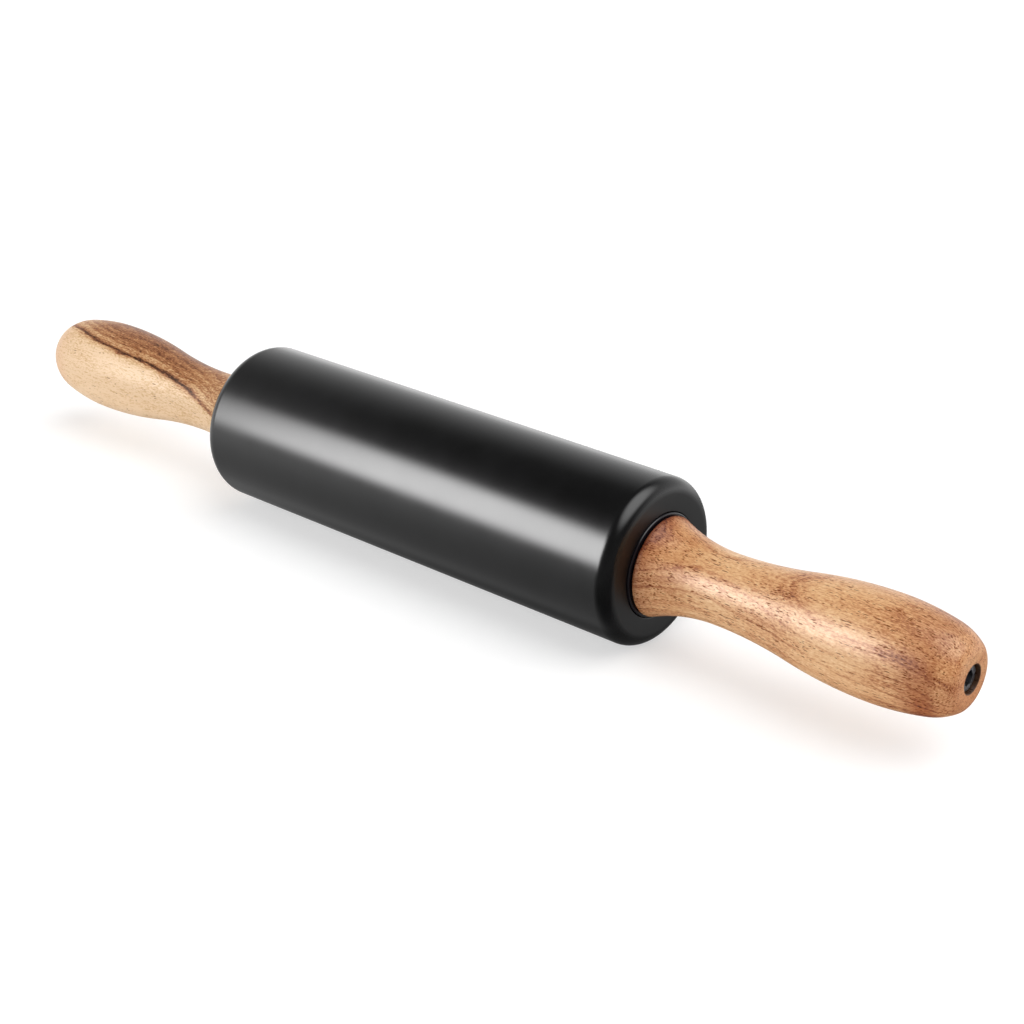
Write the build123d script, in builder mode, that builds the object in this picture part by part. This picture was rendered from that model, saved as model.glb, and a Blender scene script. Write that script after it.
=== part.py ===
from build123d import *
import os

# Marble rolling pin: a honed black marble barrel with two turned acacia handles.
# A steel axle runs from handle to handle. The barrel spins on it in two nylon bushes, and each
# handle is clamped between a shoulder of the axle and a sleeve nut sunk in the handle's end.
# Millimetres. X runs along the axle, Z is up, and the origin is on the axle in the middle of the
# barrel. A place along the axle is a distance from there, the same on both sides.

# Marble barrel
barrel_diameter = 63.0
barrel_length = 206.0
barrel_edge_radius = 5.5
barrel_bore_diameter = 22.0
barrel_lip_chamfer = 0.5

# Nylon bush: a body glued into the bore, and a flange that stands a little proud of the marble
flange_diameter = 39.0
flange_thickness = 3.4
flange_proud = 0.6
flange_chamfer = 0.5
bush_length = 26.0
bush_chamfer = 1.0
glue_line = 0.05

# Steel axle: a journal through the bushes, stepped down to a threaded end on each side
journal_diameter = 8.0
thread_diameter = 6.0
axle_chamfer = 0.6
running_clearance = 0.06

# Turned handle, from its foot beside the barrel to the flat at its end
handle_length = 122.0
foot_gap = 0.5
foot_diameter = 37.2
foot_chamfer = 0.8
neck_diameter = 26.0
grip_diameter = 37.5
end_flat_diameter = 16.8
neck_place_share = 0.2255
grip_place_share = 0.736
swell_share = 0.5
shoulder_run_share = 0.667
shoulder_fall_share = 0.225
nose_run_share = 0.932
nose_fall_share = 0.6

# Holes in the handle: a bore for the journal, a land for the thread and a recess for the nut
handle_clearance = 0.1
clamp_land = 20.0
recess_diameter = 10.2
recess_chamfer = 0.3

# Thrust washer, let into the foot, and the play between it and the bush's flange
thrust_diameter = 24.0
thrust_thickness = 1.2
end_play = 0.2

# Sleeve nut with a hexagon socket, and the washer that it bears on
nut_diameter = 9.8
nut_length = 10.0
nut_chamfer = 0.5
nut_sunk = 1.4
nut_thread_depth = 6.4
nut_thread_gap = 0.4
socket_across_flats = 5.0
socket_depth = 3.0
thread_clearance = 0.05
seat_thickness = 1.0
washer_clearance = 0.2

# Radii
barrel_radius = barrel_diameter / 2
bore_radius = barrel_bore_diameter / 2
bush_radius = bore_radius - glue_line
flange_radius = flange_diameter / 2
flange_pocket_radius = flange_radius + glue_line
journal_radius = journal_diameter / 2
bush_bore_radius = journal_radius + running_clearance
thread_radius = thread_diameter / 2
foot_radius = foot_diameter / 2
neck_radius = neck_diameter / 2
grip_radius = grip_diameter / 2
end_flat_radius = end_flat_diameter / 2
handle_bore_radius = journal_radius + handle_clearance
land_bore_radius = thread_radius + handle_clearance
recess_radius = recess_diameter / 2
nut_radius = nut_diameter / 2
nut_bore_radius = thread_radius + thread_clearance
thrust_radius = thrust_diameter / 2
thrust_pocket_radius = thrust_radius + washer_clearance

# Places along the axle
face_place = barrel_length / 2
flange_face = face_place + flange_proud
flange_seat = flange_face - flange_thickness
flange_pocket_floor = flange_seat - glue_line
bush_end = flange_face - bush_length
thrust_face = flange_face + end_play
thrust_seat = thrust_face + thrust_thickness
foot_place = flange_face + foot_gap
end_place = foot_place + handle_length
neck_place = foot_place + neck_place_share * handle_length
grip_place = foot_place + grip_place_share * handle_length
nut_face = end_place - nut_sunk
nut_seat = nut_face - nut_length
thread_end = nut_seat + nut_thread_depth - nut_thread_gap
recess_floor = nut_seat - seat_thickness
shoulder_place = recess_floor - clamp_land

# Every round piece is an outline in this plane, where Y is the distance from the axle
outline_plane = Plane.XZ
axle = Axis.X
along = (1, 0)
back_along = (-1, 0)


def washer(start, stop, inner, outer):
    """A flat washer between two places on the axle."""
    with BuildPart() as ring:
        with BuildSketch(outline_plane):
            with BuildLine():
                Polyline((start, inner), (stop, inner), (stop, outer), (start, outer), close=True)
            make_face()
        revolve(axis=axle)
    return ring.part


def other_side(piece):
    """The same piece at the left end of the axle."""
    with BuildPart() as mirrored:
        mirror(piece, about=Plane.YZ)
    return mirrored.part


# Marble barrel: half of its outline, bored through, counterbored for the flange and rounded
# at the edge. The lip of the counterbore is broken, and shows as a bright line round the bush.
with BuildPart() as marble_barrel:
    with BuildSketch(outline_plane):
        with BuildLine():
            Polyline(
                (face_place, barrel_radius - barrel_edge_radius),
                (face_place, flange_pocket_radius + barrel_lip_chamfer),
                (face_place - barrel_lip_chamfer, flange_pocket_radius),
                (flange_pocket_floor, flange_pocket_radius),
                (flange_pocket_floor, bore_radius),
                (0, bore_radius),
                (0, barrel_radius),
                (face_place - barrel_edge_radius, barrel_radius),
            )
            TangentArc(
                (face_place - barrel_edge_radius, barrel_radius),
                (face_place, barrel_radius - barrel_edge_radius),
                tangent=along,
            )
        make_face()
    revolve(axis=axle)
    mirror(about=Plane.YZ)
marble_barrel.part.label = "marble_barrel"

# Nylon bush: the flange's outer edge is broken, and the body is chamfered to start in the bore
with BuildPart() as right_bush:
    with BuildSketch(outline_plane):
        with BuildLine():
            Polyline(
                (flange_face, bush_bore_radius),
                (flange_face, flange_radius - flange_chamfer),
                (flange_face - flange_chamfer, flange_radius),
                (flange_seat, flange_radius),
                (flange_seat, bush_radius),
                (bush_end + bush_chamfer, bush_radius),
                (bush_end, bush_radius - bush_chamfer),
                (bush_end, bush_bore_radius),
                close=True,
            )
        make_face()
    revolve(axis=axle)

# Steel axle: the journal ends at a shoulder inside each handle, and the thread runs on to the nut
with BuildPart() as axle_rod:
    with BuildSketch(outline_plane):
        with BuildLine():
            Polyline(
                (0, 0),
                (thread_end, 0),
                (thread_end, thread_radius - axle_chamfer),
                (thread_end - axle_chamfer, thread_radius),
                (shoulder_place, thread_radius),
                (shoulder_place, journal_radius - axle_chamfer),
                (shoulder_place - axle_chamfer, journal_radius),
                (0, journal_radius),
                close=True,
            )
        make_face()
    revolve(axis=axle)
    mirror(about=Plane.YZ)
axle_rod.part.label = "axle_rod"

# Handle. Its outline is a chain of arcs, each tangent to the last: it flares from the slim neck
# back to the foot, swells into the grip, and a shoulder and a nose close it to a small flat.
# Inside are the thrust washer's pocket, the journal's bore, the thread's land and the nut's recess.
foot_edge_place = foot_place + foot_chamfer
swell_place = neck_place + swell_share * (grip_place - neck_place)
swell_radius = neck_radius + swell_share * (grip_radius - neck_radius)
nose_length = end_place - grip_place
nose_depth = grip_radius - end_flat_radius
shoulder_point = (
    grip_place + shoulder_run_share * nose_length,
    grip_radius - shoulder_fall_share * nose_depth,
)
nose_point = (
    grip_place + nose_run_share * nose_length,
    grip_radius - nose_fall_share * nose_depth,
)
with BuildPart() as right_handle:
    with BuildSketch(outline_plane):
        with BuildLine():
            flare = TangentArc(
                (neck_place, neck_radius), (foot_edge_place, foot_radius), tangent=back_along
            )
            swell = TangentArc(flare @ 0, (swell_place, swell_radius), tangent=along)
            grip = TangentArc(swell @ 1, (grip_place, grip_radius), tangent=swell % 1)
            shoulder = TangentArc(grip @ 1, shoulder_point, tangent=grip % 1)
            nose = TangentArc(shoulder @ 1, nose_point, tangent=shoulder % 1)
            TangentArc(nose @ 1, (end_place, end_flat_radius), tangent=nose % 1)
            Polyline(
                (end_place, end_flat_radius),
                (end_place, recess_radius + recess_chamfer),
                (end_place - recess_chamfer, recess_radius),
                (recess_floor, recess_radius),
                (recess_floor, land_bore_radius),
                (shoulder_place, land_bore_radius),
                (shoulder_place, handle_bore_radius),
                (thrust_seat, handle_bore_radius),
                (thrust_seat, thrust_pocket_radius),
                (foot_place, thrust_pocket_radius),
                (foot_place, foot_radius - foot_chamfer),
                (foot_edge_place, foot_radius),
            )
        make_face()
    revolve(axis=axle)

# Steel thrust washer in the foot: its face runs against the bush's flange
right_thrust_washer = washer(thrust_face, thrust_seat, handle_bore_radius, thrust_radius)

# Steel seat washer on the recess's floor, under the nut
right_seat_washer = washer(recess_floor, nut_seat, thread_radius + washer_clearance, nut_radius)

# Steel sleeve nut: a blind thread from the inside and a hexagon socket from the outside
nut_plane = Plane(origin=(nut_face, 0, 0), x_dir=(0, 1, 0), z_dir=(1, 0, 0))
with BuildPart() as right_end_nut:
    with BuildSketch(outline_plane):
        with BuildLine():
            Polyline(
                (nut_seat, nut_bore_radius),
                (nut_seat + nut_thread_depth, nut_bore_radius),
                (nut_seat + nut_thread_depth, 0),
                (nut_face, 0),
                (nut_face, nut_radius - nut_chamfer),
                (nut_face - nut_chamfer, nut_radius),
                (nut_seat, nut_radius),
                close=True,
            )
        make_face()
    revolve(axis=axle)
    with BuildSketch(nut_plane):
        RegularPolygon(radius=socket_across_flats / 2, side_count=6, major_radius=False)
    extrude(amount=-socket_depth, mode=Mode.SUBTRACT)

# The left end of the pin is the mirror of the right one
pairs = {
    "bush": right_bush.part,
    "handle": right_handle.part,
    "thrust_washer": right_thrust_washer,
    "seat_washer": right_seat_washer,
    "end_nut": right_end_nut.part,
}
pieces = [marble_barrel.part, axle_rod.part]
for piece_name, right_piece in pairs.items():
    left_piece = other_side(right_piece)
    right_piece.label = "right_" + piece_name
    left_piece.label = "left_" + piece_name
    pieces.append(right_piece)
    pieces.append(left_piece)

os.makedirs("parts", exist_ok=True)
for piece in pieces:
    export_step(piece, "parts/" + piece.label + ".step")
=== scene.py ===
import math

import bmesh
import bpy
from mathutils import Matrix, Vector


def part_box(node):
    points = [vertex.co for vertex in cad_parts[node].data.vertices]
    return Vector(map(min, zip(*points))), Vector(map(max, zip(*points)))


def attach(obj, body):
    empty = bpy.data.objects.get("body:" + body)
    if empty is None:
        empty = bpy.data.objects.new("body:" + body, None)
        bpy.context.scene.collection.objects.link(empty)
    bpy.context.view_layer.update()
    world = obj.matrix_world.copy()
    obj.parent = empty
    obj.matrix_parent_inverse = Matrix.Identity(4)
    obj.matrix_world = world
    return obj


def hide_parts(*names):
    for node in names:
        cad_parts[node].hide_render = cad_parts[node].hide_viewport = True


# Looks of a marble rolling pin: a honed black marble barrel between two turned acacia handles.
# Metres, as in the frame. X runs along the axle, and the origin is on it in the middle of the
# barrel. Turned outlines are written in millimetres, as places along the axle and radii.

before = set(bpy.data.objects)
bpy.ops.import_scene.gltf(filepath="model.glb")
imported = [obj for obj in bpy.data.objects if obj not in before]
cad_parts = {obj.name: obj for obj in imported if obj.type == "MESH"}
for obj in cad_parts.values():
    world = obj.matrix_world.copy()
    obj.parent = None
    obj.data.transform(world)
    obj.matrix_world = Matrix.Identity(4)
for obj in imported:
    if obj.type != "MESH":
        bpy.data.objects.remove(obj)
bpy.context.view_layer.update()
MM = 0.001

# Sizes taken from the frame, in millimetres
barrel_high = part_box("marble_barrel")[1] / MM
bush_low, bush_high = (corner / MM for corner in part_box("right_bush"))
handle_low, handle_high = (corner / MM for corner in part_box("right_handle"))
washer_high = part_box("right_thrust_washer")[1] / MM
nut_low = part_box("right_end_nut")[0] / MM
barrel_radius = barrel_high.z
face_place = barrel_high.x
flange_face = bush_high.x
flange_radius = bush_high.z
bush_end = bush_low.x
foot_place = handle_low.x
end_place = handle_high.x
handle_length = end_place - foot_place
grip_radius = handle_high.z
thrust_seat = washer_high.x
nut_seat = nut_low.x

# Sizes that the frame doesn't give, in millimetres
barrel_edge = 5.5
barrel_bore = 11.0
lip_round = 0.5
flange_thickness = 3.4
glue_line = 0.05
flange_round = 0.5
journal_bore = 4.06
bush_chamfer = 1.0
foot_radius = 18.6
foot_round = 0.8
neck_radius = 13.0
neck_place_share = 0.2255
grip_place_share = 0.736
swell_share = 0.5
shoulder_run_share = 0.667
shoulder_fall_share = 0.225
nose_run_share = 0.932
nose_fall_share = 0.6
end_flat_radius = 8.4
handle_bore = 4.1
thread_bore = 3.1
clamp_land = 20.0
thrust_pocket = 12.2
seat_thickness = 1.0
recess_radius = 5.1
recess_round = 0.3

# Sizes worked out from these
bush_radius = barrel_bore - glue_line
flange_seat = flange_face - flange_thickness
flange_pocket = flange_radius + glue_line
flange_pocket_floor = flange_seat - glue_line

# How finely a piece is turned
facets = 192
arc_steps = 20
guide_radius = 1 * MM
weld_distance = 0.002 * MM
sharp_angle = math.radians(35)


def add(tree, kind, inputs=None, stops=(), points=(), **settings):
    """
    Adds one node. Inputs go by name or number, and take a value, a socket or another node. Stops
    are the places and colours of a colour ramp, and points those of a float curve, which stays
    level past its ends.
    """
    node = tree.nodes.new(kind)
    for name, value in settings.items():
        setattr(node, name, value)
    if stops:
        elements = node.color_ramp.elements
        while len(elements) < len(stops):
            elements.new(1.0)
        for element, (place, shade) in zip(elements, stops):
            element.position = place
            element.color = shade if isinstance(shade, tuple) else (shade, shade, shade, 1.0)
    if points:
        curve = node.mapping.curves[0].points
        while len(curve) < len(points):
            curve.new(0.5, 0.5)
        for point, location in zip(curve, points):
            point.location = location
        node.mapping.extend = "HORIZONTAL"
        node.mapping.update()
    for key, value in (inputs or {}).items():
        named = [s for s in node.inputs if s.enabled and s.name == key]
        socket = named[0] if named else node.inputs[key]
        if isinstance(value, bpy.types.Node):
            value = next(s for s in value.outputs if s.enabled)
        if isinstance(value, bpy.types.NodeSocket):
            tree.links.new(value, socket)
        else:
            socket.default_value = value
    return node


def new_tree(name, inputs, outputs):
    """A Geometry Nodes tree with named inputs and outputs."""
    tree = bpy.data.node_groups.new(name, "GeometryNodeTree")
    for label, kind in inputs:
        tree.interface.new_socket(label, in_out="INPUT", socket_type=kind)
    for label, kind in outputs:
        tree.interface.new_socket(label, in_out="OUTPUT", socket_type=kind)
    return tree, tree.nodes.new("NodeGroupInput")


def tangent_arc():
    """An arc from Start to Stop that leaves Start along Heading, and the heading it ends with."""
    tree, given = new_tree(
        "Tangent Arc",
        [("Start", "NodeSocketVector"), ("Stop", "NodeSocketVector"), ("Heading", "NodeSocketVector")],
        [("Curve", "NodeSocketGeometry"), ("Heading", "NodeSocketVector")],
    )
    start, stop, heading = (given.outputs[label] for label in ("Start", "Stop", "Heading"))
    chord = add(tree, "ShaderNodeVectorMath", {0: stop, 1: start}, operation="SUBTRACT")
    length = add(tree, "ShaderNodeVectorMath", {0: chord}, operation="LENGTH")
    toward = add(tree, "ShaderNodeVectorMath", {0: chord}, operation="NORMALIZE")
    cosine = add(tree, "ShaderNodeVectorMath", {0: heading, 1: toward}, operation="DOT_PRODUCT")
    forward = add(
        tree, "ShaderNodeVectorMath", {0: toward, "Scale": cosine.outputs["Value"]}, operation="SCALE"
    )
    side = add(tree, "ShaderNodeVectorMath", {0: heading, 1: forward}, operation="SUBTRACT")
    turned = add(tree, "ShaderNodeVectorMath", {0: forward, 1: side}, operation="SUBTRACT")
    # The arc's height over its chord is half the chord times the tangent of half the angle
    opening = add(tree, "ShaderNodeMath", {0: cosine.outputs["Value"], 1: 1.0}, operation="ADD")
    ratio = add(tree, "ShaderNodeMath", {0: length.outputs["Value"], 1: opening}, operation="DIVIDE")
    half = add(tree, "ShaderNodeMath", {0: ratio, 1: 0.5}, operation="MULTIPLY")
    rise = add(tree, "ShaderNodeVectorMath", {0: side, "Scale": half.outputs[0]}, operation="SCALE")
    both = add(tree, "ShaderNodeVectorMath", {0: start, 1: stop}, operation="ADD")
    centre = add(tree, "ShaderNodeVectorMath", {0: both, "Scale": 0.5}, operation="SCALE")
    middle = add(tree, "ShaderNodeVectorMath", {0: centre, 1: rise}, operation="ADD")
    arc = add(
        tree,
        "GeometryNodeCurveArc",
        {"Resolution": arc_steps, "Start": start, "Middle": middle, "End": stop},
        mode="POINTS",
    )
    add(tree, "NodeGroupOutput", {"Curve": arc, "Heading": turned})
    return tree


def straight_cut():
    """A straight cut from Start to Stop, and its heading."""
    tree, given = new_tree(
        "Straight Cut",
        [("Start", "NodeSocketVector"), ("Stop", "NodeSocketVector"), ("Heading", "NodeSocketVector")],
        [("Curve", "NodeSocketGeometry"), ("Heading", "NodeSocketVector")],
    )
    start, stop = given.outputs["Start"], given.outputs["Stop"]
    line = add(tree, "GeometryNodeCurvePrimitiveLine", {"Start": start, "End": stop})
    chord = add(tree, "ShaderNodeVectorMath", {0: stop, 1: start}, operation="SUBTRACT")
    toward = add(tree, "ShaderNodeVectorMath", {0: chord}, operation="NORMALIZE")
    add(tree, "NodeGroupOutput", {"Curve": line, "Heading": toward})
    return tree


def turn():
    """Turns an outline about the axle. The outline's X is its radius and its Y the place."""
    tree, given = new_tree(
        "Turn",
        [
            ("Outline", "NodeSocketGeometry"),
            ("Facets", "NodeSocketInt"),
            ("Material", "NodeSocketMaterial"),
        ],
        [("Geometry", "NodeSocketGeometry")],
    )
    guide = add(
        tree,
        "GeometryNodeCurvePrimitiveCircle",
        {"Resolution": given.outputs["Facets"], "Radius": guide_radius},
        mode="RADIUS",
    )
    inward = add(
        tree,
        "GeometryNodeTransform",
        {"Geometry": given.outputs["Outline"], "Translation": (-guide_radius, 0, 0)},
    )
    swept = add(tree, "GeometryNodeCurveToMesh", {"Curve": guide, "Profile Curve": inward})
    laid = add(
        tree, "GeometryNodeTransform", {"Geometry": swept, "Rotation": (0, -math.pi / 2, 0)}
    )
    welded = add(tree, "GeometryNodeMergeByDistance", {"Geometry": laid, "Distance": weld_distance})
    smooth = add(tree, "GeometryNodeSetShadeSmooth", {"Geometry": welded}, domain="FACE")
    angle = add(tree, "GeometryNodeInputMeshEdgeAngle")
    corner = add(
        tree,
        "FunctionNodeCompare",
        {"A": angle.outputs["Unsigned Angle"], "B": sharp_angle},
        data_type="FLOAT",
        operation="GREATER_THAN",
    )
    crisp = add(
        tree,
        "GeometryNodeSetShadeSmooth",
        {"Geometry": smooth, "Selection": corner, "Shade Smooth": False},
        domain="EDGE",
    )
    real = add(tree, "GeometryNodeRealizeInstances", {"Geometry": crisp})
    finished = add(
        tree, "GeometryNodeSetMaterial", {"Geometry": real, "Material": given.outputs["Material"]}
    )
    add(tree, "NodeGroupOutput", {"Geometry": finished})
    return tree


CUTS = {"arc": tangent_arc(), "line": straight_cut()}
TURN = turn()


def turned_piece(name, outline, side, material):
    """
    Turns one piece. The outline lists a kind of cut, the name of the station that it ends at, its
    place and its radius, in millimetres. It starts at its first station, along the axle. A pair
    instead of a kind is an arc that sets off at a corner: how far outward, and how far along.
    Each station becomes a named input of the piece's tree.
    """
    stations = [
        (label, Vector((radius * MM, side * place * MM, 0))) for _, label, place, radius in outline
    ]
    tree, given = new_tree(
        name,
        [(label, "NodeSocketVector") for label, _ in stations]
        + [("Facets", "NodeSocketInt"), ("Material", "NodeSocketMaterial")],
        [("Geometry", "NodeSocketGeometry")],
    )
    joined = tree.nodes.new("GeometryNodeJoinGeometry")
    start = given.outputs[0]
    heading = (0, side, 0)
    for number, (kind, *_) in enumerate(outline[1:], start=1):
        if kind not in CUTS:
            outward, along = kind
            kind, heading = "arc", (outward, side * along, 0)
        cut = add(
            tree,
            "GeometryNodeGroup",
            {"Start": start, "Stop": given.outputs[number], "Heading": heading},
            node_tree=CUTS[kind],
        )
        tree.links.new(cut.outputs["Curve"], joined.inputs[0])
        start, heading = given.outputs[number], cut.outputs["Heading"]
    body = add(
        tree,
        "GeometryNodeGroup",
        {"Outline": joined, "Facets": given.outputs["Facets"], "Material": given.outputs["Material"]},
        node_tree=TURN,
    )
    add(tree, "NodeGroupOutput", {"Geometry": body})

    piece = bpy.data.objects.new(name, bpy.data.meshes.new(name))
    bpy.context.scene.collection.objects.link(piece)
    modifier = piece.modifiers.new("Turned", "NODES")
    modifier.node_group = tree
    values = dict(stations, Facets=facets, Material=material)
    for item in tree.interface.items_tree:
        if item.in_out == "INPUT":
            modifier[item.identifier] = values[item.name]
    evaluated = piece.evaluated_get(bpy.context.evaluated_depsgraph_get())
    mesh = bpy.data.meshes.new_from_object(evaluated)
    piece.modifiers.clear()
    piece.data = mesh
    mesh.name = name
    shell = bmesh.new()
    shell.from_mesh(mesh)
    bmesh.ops.recalc_face_normals(shell, faces=shell.faces)
    shell.to_mesh(mesh)
    shell.free()
    return piece


# Materials, each named for what it is and how its surface was made. Nearly all of a noise
# pattern lies between these two values.
noise_low = 0.3
noise_high = 0.7


def colour(code):
    """A linear colour, with its alpha, from an sRGB hex value."""
    parts = [int(code[i : i + 2], 16) / 255 for i in (1, 3, 5)]
    linear = [c / 12.92 if c <= 0.04045 else ((c + 0.055) / 1.055) ** 2.4 for c in parts]
    return (*linear, 1.0)


def new_material(name, roughness, ior=1.5, specular=0.5):
    """A material with its tree, its shader, and a point of the surface in millimetres."""
    material = bpy.data.materials.new(name)
    material.use_nodes = True
    tree = material.node_tree
    shader = tree.nodes["Principled BSDF"]
    shader.inputs["Roughness"].default_value = roughness
    shader.inputs["IOR"].default_value = ior
    shader.inputs["Specular IOR Level"].default_value = specular
    place = add(tree, "ShaderNodeTexCoord")
    millimetres = add(
        tree, "ShaderNodeVectorMath", {0: place.outputs["Object"], "Scale": 1 / MM}, operation="SCALE"
    )
    return material, tree, shader, millimetres


def from_axle(tree, place):
    """How far a point is from the axle, in millimetres."""
    axes = add(tree, "ShaderNodeSeparateXYZ", {"Vector": place})
    across = add(tree, "ShaderNodeCombineXYZ", {"Y": axes.outputs["Y"], "Z": axes.outputs["Z"]})
    distance = add(tree, "ShaderNodeVectorMath", {0: across}, operation="LENGTH")
    return distance.outputs["Value"]


def marble():
    """
    Black marble, honed with fine grit: a deep black with a soft sheen, duller on the ground end
    faces. A hardly visible cloud changes the shade and the sheen a little. The grit's marks, too
    fine to see, are drawn 0.7 mm wide.
    """
    cloud_width = 22
    grit_width = 0.7
    grit_depth = 0.004 * MM
    smoothest = 0.19
    roughest = 0.235
    end_facing = 0.9
    end_dulling = 0.16
    material, tree, shader, place = new_material("honed_black_marble", roughness=0.21)
    cloud = add(
        tree,
        "ShaderNodeTexNoise",
        {"Vector": place, "Scale": 1 / cloud_width, "Detail": 6.0, "Roughness": 0.6},
    )
    grit = add(tree, "ShaderNodeTexNoise", {"Vector": place, "Scale": 1 / grit_width, "Detail": 3.0})
    shade = add(
        tree,
        "ShaderNodeValToRGB",
        {"Fac": cloud},
        stops=[(noise_low, colour("#040404")), (noise_high, colour("#0c0c0d"))],
    )
    sheen = add(
        tree,
        "ShaderNodeMapRange",
        {
            "Value": cloud,
            "From Min": noise_low,
            "From Max": noise_high,
            "To Min": smoothest,
            "To Max": roughest,
        },
    )
    facing = add(tree, "ShaderNodeTexCoord")
    turned = add(tree, "ShaderNodeSeparateXYZ", {"Vector": facing.outputs["Normal"]})
    endward = add(tree, "ShaderNodeMath", {0: turned.outputs["X"]}, operation="ABSOLUTE")
    duller = add(
        tree,
        "ShaderNodeMapRange",
        {"Value": endward, "From Min": end_facing, "From Max": 1.0, "To Max": end_dulling},
        interpolation_type="SMOOTHSTEP",
    )
    dulled = add(tree, "ShaderNodeMath", {0: sheen, 1: duller}, operation="ADD")
    bump = add(tree, "ShaderNodeBump", {"Height": grit, "Distance": grit_depth, "Strength": 0.6})
    tree.links.new(shade.outputs["Color"], shader.inputs["Base Color"])
    tree.links.new(dulled.outputs["Value"], shader.inputs["Roughness"])
    tree.links.new(bump.outputs["Normal"], shader.inputs["Normal"])
    return material


def nylon():
    """Nylon, moulded: black and satin, with the mould's fine grain, drawn 0.4 mm wide to show."""
    grain_width = 0.4
    grain_depth = 0.01 * MM
    material, tree, shader, place = new_material("moulded_black_nylon", roughness=0.22, ior=1.53)
    grain = add(tree, "ShaderNodeTexNoise", {"Vector": place, "Scale": 1 / grain_width, "Detail": 2.0})
    shade = add(
        tree,
        "ShaderNodeValToRGB",
        {"Fac": grain},
        stops=[(noise_low, colour("#0f0c10")), (noise_high, colour("#171318"))],
    )
    bump = add(tree, "ShaderNodeBump", {"Height": grain, "Distance": grain_depth, "Strength": 0.5})
    tree.links.new(shade.outputs["Color"], shader.inputs["Base Color"])
    tree.links.new(bump.outputs["Normal"], shader.inputs["Normal"])
    return material


def steel():
    """Carbon steel, turned and oiled: grey, patchy with oil, and ringed by the lathe tool."""
    oil_patch = 1.2
    tool_mark_spacing = 0.5
    tool_mark_depth = 0.01 * MM
    smoothest = 0.24
    roughest = 0.36
    material, tree, shader, place = new_material("turned_oiled_steel", roughness=0.3)
    shader.inputs["Metallic"].default_value = 1.0
    grain = add(tree, "ShaderNodeTexNoise", {"Vector": place, "Scale": 1 / oil_patch, "Detail": 3.0})
    shade = add(
        tree,
        "ShaderNodeValToRGB",
        {"Fac": grain},
        stops=[(noise_low, colour("#8f9094")), (noise_high, colour("#aeafb4"))],
    )
    ring = add(
        tree,
        "ShaderNodeMath",
        {0: from_axle(tree, place), 1: 2 * math.pi / tool_mark_spacing},
        operation="MULTIPLY",
    )
    groove = add(tree, "ShaderNodeMath", {0: ring}, operation="SINE")
    bump = add(
        tree, "ShaderNodeBump", {"Height": groove, "Distance": tool_mark_depth, "Strength": 0.4}
    )
    sheen = add(
        tree,
        "ShaderNodeMapRange",
        {
            "Value": grain,
            "From Min": noise_low,
            "From Max": noise_high,
            "To Min": smoothest,
            "To Max": roughest,
        },
    )
    tree.links.new(shade.outputs["Color"], shader.inputs["Base Color"])
    tree.links.new(sheen.outputs["Result"], shader.inputs["Roughness"])
    tree.links.new(bump.outputs["Normal"], shader.inputs["Normal"])
    return material


def handle_share(tree, place, side):
    """How far along a handle a point is, from 0 at its foot to 1 at its end."""
    axes = add(tree, "ShaderNodeSeparateXYZ", {"Vector": place})
    span = {"Value": axes.outputs["X"], "From Min": side * foot_place, "From Max": side * end_place}
    return add(tree, "ShaderNodeMapRange", span)


def along_handle(tree, share, values):
    """A value that changes along a handle, from its values at shares of the length."""
    lowest = min(value for _, value in values)
    span = max(value for _, value in values) - lowest
    curve = add(
        tree,
        "ShaderNodeFloatCurve",
        {"Value": share},
        points=[(part, (value - lowest) / span) for part, value in values],
    )
    return add(tree, "ShaderNodeMath", {0: curve, 1: span, 2: lowest}, operation="MULTIPLY_ADD")


def growth_height(tree, place, share, bark_angle, lean, pith_distance):
    """
    Height of a point towards the bark, in millimetres, in a handle cut from beside the pith. The
    growth rings are its level lines. Lean lists how far the rings climb at shares of the length.
    """
    bark = Vector((0, math.cos(math.radians(bark_angle)), math.sin(math.radians(bark_angle))))
    across = Vector((0, -bark.z, bark.y))
    straight = add(tree, "ShaderNodeVectorMath", {0: place, 1: bark}, operation="DOT_PRODUCT")
    lateral = add(tree, "ShaderNodeVectorMath", {0: place, 1: across}, operation="DOT_PRODUCT")
    # A ring round the pith falls by the square of the way across over twice its radius
    squared = add(
        tree,
        "ShaderNodeMath",
        {0: lateral.outputs["Value"], 1: lateral.outputs["Value"]},
        operation="MULTIPLY",
    )
    bowed = add(
        tree,
        "ShaderNodeMath",
        {0: squared, 1: -0.5 / pith_distance, 2: straight.outputs["Value"]},
        operation="MULTIPLY_ADD",
    )
    climb = along_handle(tree, share, lean)
    return add(tree, "ShaderNodeMath", {0: bowed, 1: climb}, operation="ADD")


def drawn_out(tree, place, run, cross, seed, detail=3.0, roughness=0.55):
    """Streaks along the grain, about run long and cross wide, in millimetres."""
    stretched = add(
        tree,
        "ShaderNodeMapping",
        {"Vector": place, "Location": (seed, seed, seed), "Scale": (1 / run, 1 / cross, 1 / cross)},
    )
    pattern = {"Vector": stretched, "Scale": 1.0, "Detail": detail, "Roughness": roughness}
    return add(tree, "ShaderNodeTexNoise", pattern)


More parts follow.
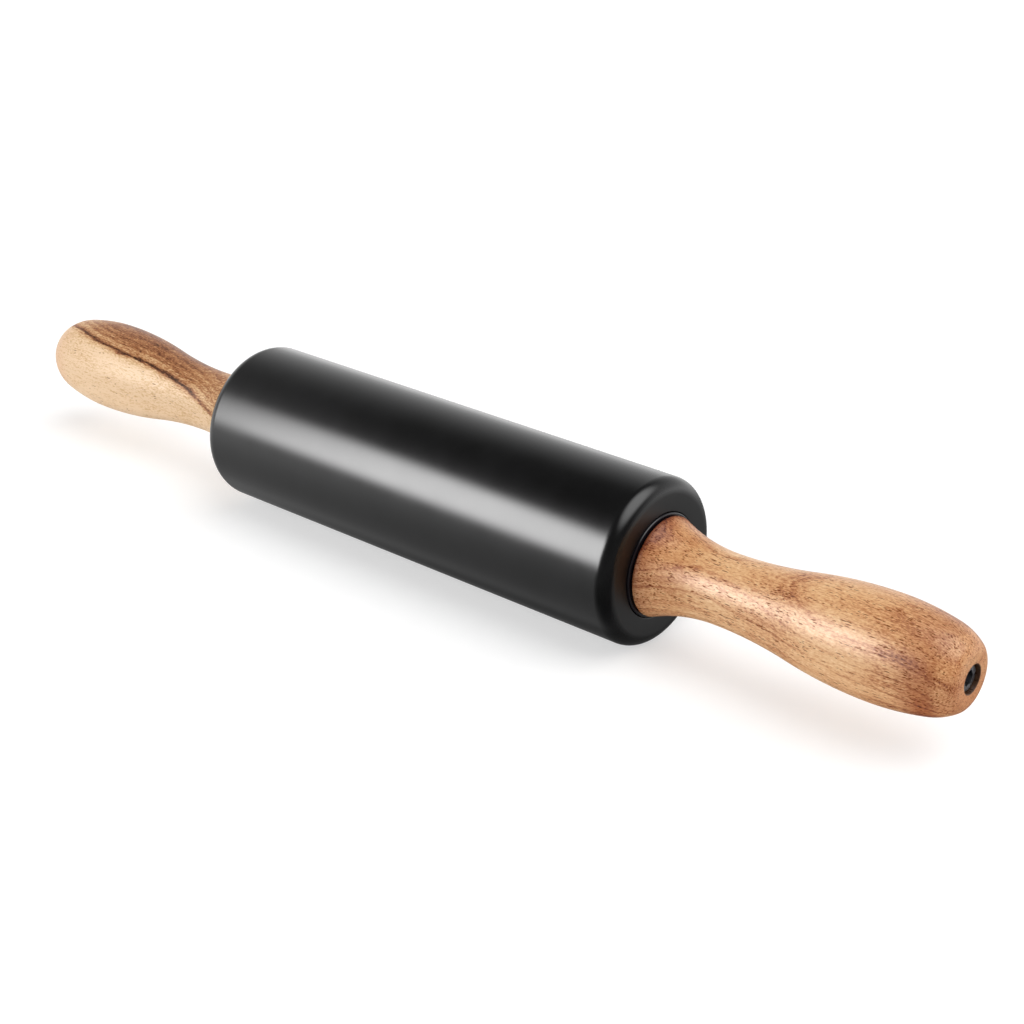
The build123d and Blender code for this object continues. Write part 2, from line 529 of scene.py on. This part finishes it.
def pores(tree, place, run, cross, crowd, seed):
    """
    Vessels that the gouge cut open: dashes along the grain, in cells run long and cross wide, in
    millimetres. Crowd says how many cells hold one, from 0 to 1, and the fullest dash has two
    thirds of its cell.
    """
    fullest = 0.34
    edge = 0.4 * fullest
    spare_when_full = 0.3
    corner = (seed, 0.7 * seed, 0)
    cells = add(
        tree,
        "ShaderNodeMapping",
        {"Vector": place, "Location": corner, "Scale": (1 / run, 1 / cross, 1 / cross)},
    )
    vessel = add(tree, "ShaderNodeTexVoronoi", {"Vector": cells, "Scale": 1.0}, feature="F1")
    luck = add(tree, "ShaderNodeSeparateColor", {"Color": vessel.outputs["Color"]})
    spare = add(tree, "ShaderNodeMath", {0: crowd, 1: luck.outputs["Red"]}, operation="SUBTRACT")
    width = add(
        tree, "ShaderNodeMapRange", {"Value": spare, "From Max": spare_when_full, "To Max": fullest}
    )
    inside = add(
        tree, "ShaderNodeMath", {0: width, 1: vessel.outputs["Distance"]}, operation="SUBTRACT"
    )
    return add(
        tree, "ShaderNodeMapRange", {"Value": inside, "From Max": edge}, interpolation_type="SMOOTHSTEP"
    )


def acacia(
    name,
    side,
    bark_angle,
    lean,
    rings,
    contrast,
    waver,
    tones,
    crowding,
    pore_tone,
    end_grain_and_sheen_tones,
    gloss,
    seed,
):
    """
    Acacia, turned, sanded and oiled: a warm satin. Growth rings show as darker zones, rows of fine pores
    run along the grain, and the wood at the ends, cut across, drinks more oil and goes redder; the nose
    also has painted shade underneath and a painted highlight. The drilled holes are painted dark with
    shade. The pores, 0.2 mm wide in the real wood, are drawn up to 0.5 mm wide to show.

    Rings lists how dark the wood is at heights towards the bark, in millimetres. Lean, contrast,
    crowding and end_grain_and_sheen_tones list what changes along the handle, at shares of its length.
    Waver is how far the rings stray along their fibres, in millimetres.
    """
    wave_height = 3.4
    fine_ring_spacing = 1.1
    relief_depth = 0.03 * MM
    smoothest = 0.31
    roughest = 0.43
    material, tree, shader, place = new_material(name, roughness=0.36, specular=gloss)
    share = handle_share(tree, place, side)
    level = growth_height(tree, place, share, bark_angle, lean, pith_distance=70)
    wave = drawn_out(tree, place, run=60, cross=12, seed=seed, detail=2.0)
    ripple = drawn_out(tree, place, run=34, cross=1.3, seed=seed + 5)
    waved = add(tree, "ShaderNodeMath", {0: wave, 1: wave_height, 2: level}, operation="MULTIPLY_ADD")
    ring = add(tree, "ShaderNodeMath", {0: ripple, 1: waver, 2: waved}, operation="MULTIPLY_ADD")
    centred = add(tree, "ShaderNodeMath", {0: ring, 1: (wave_height + waver) / 2}, operation="SUBTRACT")

    # The rings that show most are placed, and finer ones of uneven spacing lie among them
    low, high = rings[0][0], rings[-1][0]
    height = add(tree, "ShaderNodeMapRange", {"Value": centred, "From Min": low, "From Max": high})
    placed = [((level_of_ring - low) / (high - low), tone) for level_of_ring, tone in rings]
    broad = add(tree, "ShaderNodeValToRGB", {"Fac": height}, stops=placed)
    strength = along_handle(tree, share, contrast)
    faded = add(tree, "ShaderNodeMath", {0: broad, 1: strength}, operation="MULTIPLY")
    fine = add(
        tree,
        "ShaderNodeTexNoise",
        {"W": centred, "Scale": 1 / fine_ring_spacing, "Detail": 3.0, "Roughness": 0.65},
        noise_dimensions="1D",
    )
    fibre = drawn_out(tree, place, run=6, cross=0.5, seed=seed + 9, roughness=0.7)
    fleck = drawn_out(tree, place, run=1.3, cross=0.55, seed=seed + 17, detail=1.0)
    patch = drawn_out(tree, place, run=26, cross=7, seed=seed + 13, roughness=0.6)
    tone = faded
    for pattern, weight in ((fine, 0.30), (fibre, 0.95), (fleck, 0.8), (patch, 0.5)):
        swing = add(tree, "ShaderNodeMath", {0: pattern, 1: 0.5}, operation="SUBTRACT")
        tone = add(tree, "ShaderNodeMath", {0: swing, 1: weight, 2: tone}, operation="MULTIPLY_ADD")
    wood_tones = [(at, colour(code)) for at, code in tones]
    wood = add(tree, "ShaderNodeValToRGB", {"Fac": tone}, stops=wood_tones)

    # Pores crowd in the dark zones of the rings and in narrow rows along the grain
    row_start = 0.5
    row_middle = 0.58
    crowd_in_rows = 0.8
    crowd_in_rings = 0.45
    pore_darkness = 0.85
    row = drawn_out(tree, place, run=45, cross=1.6, seed=seed + 21, detail=1.0)
    rows = add(
        tree,
        "ShaderNodeMapRange",
        {"Value": row, "From Min": row_start, "From Max": row_middle, "To Max": crowd_in_rows},
    )
    spread = along_handle(tree, share, crowding)
    spaced = add(tree, "ShaderNodeMath", {0: rows, 1: spread}, operation="ADD")
    crowd = add(
        tree, "ShaderNodeMath", {0: faded, 1: crowd_in_rings, 2: spaced}, operation="MULTIPLY_ADD"
    )
    long_pores = pores(tree, place, run=5.0, cross=0.7, crowd=crowd, seed=seed)
    short_pores = pores(tree, place, run=2.2, cross=0.5, crowd=crowd, seed=seed + 31)
    pitted = add(tree, "ShaderNodeMath", {0: long_pores, 1: short_pores}, operation="MAXIMUM")
    darkness = add(tree, "ShaderNodeMath", {0: pitted, 1: pore_darkness}, operation="MULTIPLY")
    pitted_wood = add(
        tree, "ShaderNodeMix", {"Factor": darkness, "A": wood, "B": colour(pore_tone)}, data_type="RGBA"
    )

    # Wood that is cut across the grain, at the rim of the foot and round the nose, goes redder, and a
    # paler stop of its tones can paint a highlight. How much it reddens also changes with height: round
    # the nose most underneath, which is painted shade below the lit top, and at the foot most on top.
    # The slope is counted for each millimetre up and each length of the handle along.
    height_slope = 0.055
    cut_level = 0.72
    end_grain_and_sheen_colours = [(at, colour(code)) for at, code in end_grain_and_sheen_tones]
    end_grain_and_sheen = add(tree, "ShaderNodeValToRGB", {"Fac": share}, stops=end_grain_and_sheen_colours)
    axes = add(tree, "ShaderNodeSeparateXYZ", {"Vector": place})
    height_weight = add(
        tree, "ShaderNodeMath", {0: share, 1: -height_slope, 2: height_slope / 2}, operation="MULTIPLY_ADD"
    )
    end_grain_and_shade = add(
        tree, "ShaderNodeMath", {0: axes.outputs["Z"], 1: height_weight, 2: cut_level}, operation="MULTIPLY_ADD"
    )
    reddened = add(
        tree,
        "ShaderNodeMix",
        {"Factor": end_grain_and_shade, "A": pitted_wood.outputs[2], "B": end_grain_and_sheen},
        data_type="RGBA",
        blend_type="MULTIPLY",
    )

    # The drilled holes are painted dark, as painted shade inside them
    hole_edge = recess_radius + 0.1
    shade_width = 0.4
    shade_strength = 0.9
    hole_shade = add(
        tree,
        "ShaderNodeMapRange",
        {
            "Value": from_axle(tree, place),
            "From Min": hole_edge,
            "From Max": hole_edge + shade_width,
            "To Min": shade_strength,
            "To Max": 0.0,
        },
    )
    finished = add(
        tree,
        "ShaderNodeMix",
        {"Factor": hole_shade, "A": reddened.outputs[2], "B": colour("#1c110c")},
        data_type="RGBA",
    )

    # Fibres stand up a little and pores are pits, which hold no gloss
    pore_pit = 0.8
    pore_dulling = 0.9 * gloss
    sheen = add(
        tree,
        "ShaderNodeMapRange",
        {
            "Value": fibre,
            "From Min": noise_low,
            "From Max": noise_high,
            "To Min": smoothest,
            "To Max": roughest,
        },
    )
    relief = add(tree, "ShaderNodeMath", {0: pitted, 1: -pore_pit, 2: fibre}, operation="MULTIPLY_ADD")
    bump = add(tree, "ShaderNodeBump", {"Height": relief, "Distance": relief_depth, "Strength": 0.6})
    hollow = add(
        tree, "ShaderNodeMath", {0: pitted, 1: -pore_dulling, 2: gloss}, operation="MULTIPLY_ADD"
    )
    tree.links.new(finished.outputs[2], shader.inputs["Base Color"])
    tree.links.new(hollow.outputs["Value"], shader.inputs["Specular IOR Level"])
    tree.links.new(sheen.outputs["Result"], shader.inputs["Roughness"])
    tree.links.new(bump.outputs["Normal"], shader.inputs["Normal"])
    return material


# Oiled heartwood, orange brown, with a ring that opens as a tongue on the grip
heartwood = acacia(
    "oiled_acacia_heartwood",
    side=1,
    bark_angle=112,
    lean=[
        (0.0, 0.4), (0.08, -0.6), (0.2, -1.8), (0.33, -0.6), (0.46, 0.9), (0.6, 3.4), (0.7, 4.6),
        (0.83, 5.0), (0.9, 6.4), (0.95, 9.5), (1.0, 14.0),
    ],
    rings=[
        (-20, 0.35), (-8, 0.3), (-6, 0.45), (-5.4, 0.27), (-1, 0.42), (-0.6, 0.27), (3.6, 0.27),
        (4.5, 0.54), (5.2, 0.28), (7, 0.4), (9.6, 0.28), (10.5, 0.5), (11.0, 0.3), (15.4, 0.3),
        (16.0, 0.54), (16.8, 0.34), (17.3, 0.56), (18.4, 0.42), (20.0, 0.34), (24, 0.36),
    ],
    contrast=[
        (0.0, 1.3), (0.1, 1.15), (0.25, 0.9), (0.45, 1.2), (0.6, 0.8), (0.74, 0.9), (0.87, 1.4),
        (1.0, 0.8),
    ],
    waver=1.3,
    tones=[(0.0, "#e8c293"), (0.3, "#d8a676"), (0.55, "#bb7e50"), (0.8, "#8a4d2e"), (1.0, "#4f2818")],
    crowding=[(0.0, 0.26), (0.34, 0.22), (0.5, 0.04), (0.8, 0.1), (0.88, 0.28), (1.0, 0.1)],
    pore_tone="#66290f",
    # The paler stop just short of the end, at 0.965, is a painted highlight on the nose
    end_grain_and_sheen_tones=[
        (0.0, "#8f5a48"), (0.02, "#dcc0ae"), (0.06, "#f4e6d8"), (0.12, "#eedecc"), (0.2, "#ffffff"),
        (0.84, "#ffffff"), (0.91, "#cc9c76"), (0.94, "#cc9e7c"), (0.965, "#fbeee4"), (1.0, "#e6c4b2"),
    ],
    gloss=0.45,
    seed=3.0,
)
# Oiled sapwood and heartwood in one blank, cream below a dark, streaky border and brown above it
sapwood = acacia(
    "oiled_acacia_sapwood",
    side=-1,
    bark_angle=215,
    lean=[(0.0, -16.0), (0.18, -7.0), (0.3, -2.4), (0.51, 1.2), (0.66, 1.6), (0.88, 5.3), (1.0, 7.3)],
    rings=[
        (-24, 0.75), (-14, 0.7), (-10.5, 0.58), (-9.6, 0.75), (-8.2, 0.5), (-6.6, 0.68), (-5.4, 0.45),
        (-4.3, 0.66), (-3.2, 0.4), (-1.8, 0.42), (-1.0, 0.6), (-0.4, 0.95), (0.1, 0.95), (0.6, 0.6),
        (1.1, 0.32), (2.2, 0.2), (3.6, 0.1), (6, 0.05), (24, 0.03),
    ],
    contrast=[(0.0, 0.6), (0.2, 0.84), (0.32, 1.05), (0.62, 1.05), (0.83, 0.95), (1.0, 0.45)],
    waver=2.6,
    tones=[(0.0, "#e4c5a2"), (0.25, "#cfaa7e"), (0.5, "#ad7a51"), (0.75, "#845237"), (1.0, "#3c2516")],
    crowding=[(0.0, 0.0), (0.3, -0.36), (1.0, -0.4)],
    pore_tone="#7c4a2a",
    end_grain_and_sheen_tones=[(0.86, "#ffffff"), (0.96, "#f0dcd2")],
    gloss=0.14,
    seed=11.0,
)
black_marble = marble()
black_nylon = nylon()
oiled_steel = steel()

# Marble barrel: bored through, counterbored for the flanges, and rounded at its edges
barrel_outline = [
    ("start", "Pocket lip", face_place - lip_round, flange_pocket),
    ("arc", "Lip", face_place, flange_pocket + lip_round),
    ("line", "Face", face_place, barrel_radius - barrel_edge),
    ("arc", "Edge", face_place - barrel_edge, barrel_radius),
    ("line", "Far edge", barrel_edge - face_place, barrel_radius),
    ("arc", "Far face", -face_place, barrel_radius - barrel_edge),
    ("line", "Far lip", -face_place, flange_pocket + lip_round),
    ("arc", "Far pocket lip", lip_round - face_place, flange_pocket),
    ("line", "Far pocket floor", -flange_pocket_floor, flange_pocket),
    ("line", "Far bore", -flange_pocket_floor, barrel_bore),
    ("line", "Bore", flange_pocket_floor, barrel_bore),
    ("line", "Pocket floor", flange_pocket_floor, flange_pocket),
    ("line", "Pocket", face_place - lip_round, flange_pocket),
]

# Nylon bush: a flange with a rounded edge, and a body that is chamfered to start in the bore
bush_outline = [
    ("start", "Flange seat", flange_seat, flange_radius),
    ("line", "Flange wall", flange_face - flange_round, flange_radius),
    ("arc", "Flange edge", flange_face, flange_radius - flange_round),
    ("line", "Flange face", flange_face, journal_bore),
    ("line", "Bore", bush_end, journal_bore),
    ("line", "Body end", bush_end, bush_radius - bush_chamfer),
    ("line", "Body chamfer", bush_end + bush_chamfer, bush_radius),
    ("line", "Body", flange_seat, bush_radius),
    ("line", "Flange back", flange_seat, flange_radius),
]

# Turned handle: the arcs of its outline are tangent to each other, from the foot to the end
neck_place = foot_place + neck_place_share * handle_length
grip_place = foot_place + grip_place_share * handle_length
swell_place = neck_place + swell_share * (grip_place - neck_place)
swell_radius = neck_radius + swell_share * (grip_radius - neck_radius)
nose_length = end_place - grip_place
nose_depth = grip_radius - end_flat_radius
shoulder_place = grip_place + shoulder_run_share * nose_length
shoulder_radius = grip_radius - shoulder_fall_share * nose_depth
nose_place = grip_place + nose_run_share * nose_length
nose_radius = grip_radius - nose_fall_share * nose_depth
recess_floor = nut_seat - seat_thickness
land_end = recess_floor - clamp_land
foot_edge_place = foot_place + foot_round
# The flare runs level into the neck, so it leaves the foot at twice its chord's angle
flare_chord = math.atan2(foot_radius - neck_radius, neck_place - foot_edge_place)
flare_heading = (-math.sin(2 * flare_chord), math.cos(2 * flare_chord))
handle_outline = [
    ("start", "Neck", neck_place, neck_radius),
    ("arc", "Swell", swell_place, swell_radius),
    ("arc", "Grip", grip_place, grip_radius),
    ("arc", "Shoulder", shoulder_place, shoulder_radius),
    ("arc", "Nose", nose_place, nose_radius),
    ("arc", "End flat", end_place, end_flat_radius),
    ("line", "Recess lip", end_place, recess_radius + recess_round),
    ("arc", "Recess", end_place - recess_round, recess_radius),
    ("line", "Recess floor", recess_floor, recess_radius),
    ("line", "Land", recess_floor, thread_bore),
    ("line", "Land end", land_end, thread_bore),
    ("line", "Journal bore", land_end, handle_bore),
    ("line", "Thrust seat", thrust_seat, handle_bore),
    ("line", "Thrust pocket", thrust_seat, thrust_pocket),
    ("line", "Pocket mouth", foot_place, thrust_pocket),
    ("line", "Foot face", foot_place, foot_radius - foot_round),
    ("arc", "Foot edge", foot_edge_place, foot_radius),
    (flare_heading, "Flare", neck_place, neck_radius),
]

# The pieces of each body, with what they stand for and their finish
made = [
    ("barrel_marble", barrel_outline, 1, black_marble, "barrel", "marble_barrel", "black_marble"),
    ("right_bush_moulded", bush_outline, 1, black_nylon, "barrel", "right_bush", "black_nylon"),
    ("left_bush_moulded", bush_outline, -1, black_nylon, "barrel", "left_bush", "black_nylon"),
    ("right_handle_turned", handle_outline, 1, heartwood, "handle_set", "right_handle", "acacia"),
    ("left_handle_turned", handle_outline, -1, sapwood, "handle_set", "left_handle", "acacia"),
]
for name, outline, side, material, body, node, slot in made:
    piece = turned_piece(name, outline, side, material)
    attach(piece, body)
    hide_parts(node)

# The metal pieces keep the frame's own meshes
metal_nodes = ["axle_rod"]
for end in ("left", "right"):
    metal_nodes += [end + "_thrust_washer", end + "_seat_washer", end + "_end_nut"]
for node in metal_nodes:
    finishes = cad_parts[node].data.materials
    finishes.clear()
    finishes.append(oiled_steel)


# Floor: a wide white sheet that the barrel rests on
def floor_material():
    """Opal acrylic, matt and lit from below, as a light table: shadows on it stay pale."""
    mottle_width = 8
    table_glow = 0.55
    material, tree, shader, place = new_material("matt_opal_acrylic", roughness=0.8, specular=0.2)
    mottle = add(
        tree, "ShaderNodeTexNoise", {"Vector": place, "Scale": 1 / mottle_width, "Detail": 3.0}
    )
    shade = add(
        tree,
        "ShaderNodeValToRGB",
        {"Fac": mottle},
        stops=[(noise_low, colour("#bcbcbc")), (noise_high, colour("#c0c0c0"))],
    )
    tree.links.new(shade.outputs["Color"], shader.inputs["Base Color"])
    shader.inputs["Emission Color"].default_value = colour("#ffffff")
    shader.inputs["Emission Strength"].default_value = table_glow
    return material


def paper_material():
    """Paper, matt white and evenly lit, so that it closes the view behind the sheet."""
    material, _, shader, _ = new_material("matt_white_paper", roughness=0.9)
    shader.inputs["Base Color"].default_value = colour("#f4f4f4")
    shader.inputs["Emission Color"].default_value = colour("#ffffff")
    shader.inputs["Emission Strength"].default_value = 1.0
    return material


def staged(name, points, faces, material):
    """Adds a thing of the studio, which isn't part of the pin."""
    mesh = bpy.data.meshes.new(name)
    mesh.from_pydata(points, [], faces)
    mesh.materials.append(material)
    prop = bpy.data.objects.new(name, mesh)
    bpy.context.scene.collection.objects.link(prop)
    return prop


floor_half = 6.0
floor_height = -barrel_radius * MM
floor_corners = [
    (x * floor_half, y * floor_half, floor_height) for x, y in ((-1, -1), (1, -1), (1, 1), (-1, 1))
]
floor = staged("floor", floor_corners, [range(len(floor_corners))], floor_material())
# The world's lower half stands for the sheet in reflections
floor.visible_glossy = False

# Backdrop: a roll of paper that stands round the sheet. Only the camera sees it, so that it
# changes no light and no reflection.
panels = 64
backdrop_top = 5.0
backdrop_points = []
for panel in range(panels):
    turned_by = 2 * math.pi * panel / panels
    for height in (floor_height, backdrop_top):
        backdrop_points.append(
            (floor_half * math.cos(turned_by), floor_half * math.sin(turned_by), height)
        )
backdrop_faces = []
for panel in range(panels):
    near, far = 2 * panel, 2 * ((panel + 1) % panels)
    backdrop_faces.append((near, near + 1, far + 1, far))
backdrop = staged("backdrop", backdrop_points, backdrop_faces, paper_material())
backdrop.visible_diffuse = False
backdrop.visible_glossy = False
backdrop.visible_transmission = False
backdrop.visible_shadow = False


# Studio: one large softbox at the front left, a wide soft one overhead, and a bright back wall
def softbox(name, direction, distance, width, height, radiance):
    """A rectangular, soft-edged area light that faces the pin from the given direction."""
    light = bpy.data.lights.new(name, "AREA")
    light.shape = "RECTANGLE"
    light.size = width
    light.size_y = height
    light.energy = radiance * math.pi * width * height
    lamp = bpy.data.objects.new(name, light)
    away = Vector(direction).normalized()
    lamp.location = away * distance
    lamp.rotation_euler = away.to_track_quat("Z", "Y").to_euler()
    bpy.context.scene.collection.objects.link(lamp)
    # The cloth is even in the middle and fades out towards its edges
    even_share = 0.35
    light.use_nodes = True
    tree = light.node_tree
    on_cloth = add(tree, "ShaderNodeNewGeometry")
    spot = add(
        tree,
        "ShaderNodeVectorMath",
        {0: on_cloth.outputs["Parametric"], 1: (2, 2, 0), 2: (-1, -1, 0)},
        operation="MULTIPLY_ADD",
    )
    spread = add(tree, "ShaderNodeVectorMath", {0: spot}, operation="ABSOLUTE")
    reach = add(tree, "ShaderNodeSeparateXYZ", {"Vector": spread})
    fades = [
        add(
            tree,
            "ShaderNodeMapRange",
            {"Value": reach.outputs[axis], "From Min": even_share, "To Min": 1.0, "To Max": 0.0},
            interpolation_type="SMOOTHSTEP",
        )
        for axis in ("X", "Y")
    ]
    glow = add(tree, "ShaderNodeMath", {0: fades[0], 1: fades[1]}, operation="MULTIPLY")
    tree.links.new(glow.outputs["Value"], tree.nodes["Emission"].inputs["Strength"])
    return lamp


# The key shows in the gloss, and a wider, dimmer one lights what is matt
key_gloss = softbox(
    "key_gloss", direction=(-0.468, -0.81, 0.335), distance=1.3, width=1.35, height=1.1, radiance=13.0
)
key_gloss.visible_diffuse = False
key_fill = softbox(
    "key_fill", direction=(-0.38, -0.86, 0.34), distance=1.3, width=2.4, height=1.3, radiance=1.74
)
key_fill.visible_glossy = False

world = bpy.data.worlds.new("studio")
bpy.context.scene.world = world
world.use_nodes = True
air = world.node_tree
surroundings = air.nodes["Background"]
seen = add(air, "ShaderNodeTexCoord").outputs["Generated"]
toward = add(air, "ShaderNodeSeparateXYZ", {"Vector": seen})
upward = add(air, "ShaderNodeMapRange", {"Value": toward.outputs["Z"], "From Min": -1.0})
# A bright wall that fades into a dim ceiling, over a sheet that darkens underneath
wall = add(
    air,
    "ShaderNodeValToRGB",
    {"Fac": upward},
    stops=[
        (0.0, 0.34), (0.13, 0.42), (0.21, 0.56), (0.30, 0.82), (0.4, 1.25), (0.5, 1.4),
        (0.62, 0.95), (0.72, 0.75), (0.8, 0.5), (0.85, 0.3), (0.89, 0.1), (1.0, 0.1),
    ],
)
# Two sides are dimmer: the room that the pin is seen from, and the sheet in the barrel's shadow
# behind it. A direction is bright as far as the edge of such a side, and past its core only the
# share that is left remains.
dim_sides = [
    {"side": (0.7, -0.7, 0.0), "edge": -0.1, "core": 0.6, "left": 0.12},
    {"side": (-0.06, 0.6, -0.8), "edge": 0.63, "core": 0.82, "left": 0.3},
]
dimmed = []
for dim in dim_sides:
    nearness = add(air, "ShaderNodeVectorMath", {0: seen, 1: dim["side"]}, operation="DOT_PRODUCT")
    fade = {
        "Value": nearness.outputs["Value"],
        "From Min": dim["edge"],
        "From Max": dim["core"],
        "To Min": 1.0,
        "To Max": dim["left"],
    }
    dimmed.append(add(air, "ShaderNodeMapRange", fade, interpolation_type="SMOOTHSTEP"))
around = add(air, "ShaderNodeMath", {0: dimmed[0], 1: dimmed[1]}, operation="MULTIPLY")
walls = add(air, "ShaderNodeVectorMath", {0: wall, "Scale": around}, operation="SCALE")
# A wide softbox overhead, with soft edges
overhead_side = Vector((0.42, 0.12, 0.9)).normalized()
overhead_reach = math.cos(math.radians(40))
overhead_core = math.cos(math.radians(14))
overhead_radiance = 3.4
closeness = add(air, "ShaderNodeVectorMath", {0: seen, 1: overhead_side}, operation="DOT_PRODUCT")
overhead = add(
    air,
    "ShaderNodeMapRange",
    {
        "Value": closeness.outputs["Value"],
        "From Min": overhead_reach,
        "From Max": overhead_core,
        "To Max": overhead_radiance,
    },
    interpolation_type="SMOOTHSTEP",
)
lit = add(air, "ShaderNodeVectorMath", {0: walls, 1: overhead}, operation="ADD")
air.links.new(lit.outputs["Vector"], surroundings.inputs["Color"])

# Camera, at the photograph's viewing angle
aim = Vector((34.58, -1.07, 0.0)) * MM
camera_distance = 742.09 * MM
camera_azimuth = math.radians(40.713)
camera_elevation = math.radians(25.302)
sensor_width = 36.0
focal_length = 69.92
back = Vector((
    math.sin(camera_azimuth) * math.cos(camera_elevation),
    -math.cos(camera_azimuth) * math.cos(camera_elevation),
    math.sin(camera_elevation),
))
lens = bpy.data.cameras.new("camera")
lens.sensor_width = sensor_width
lens.lens = focal_length
camera = bpy.data.objects.new("camera", lens)
camera.location = aim + back * camera_distance
camera.rotation_euler = back.to_track_quat("Z", "Y").to_euler()
bpy.context.scene.collection.objects.link(camera)
bpy.context.scene.camera = camera
bpy.context.scene.view_settings.view_transform = "Standard"
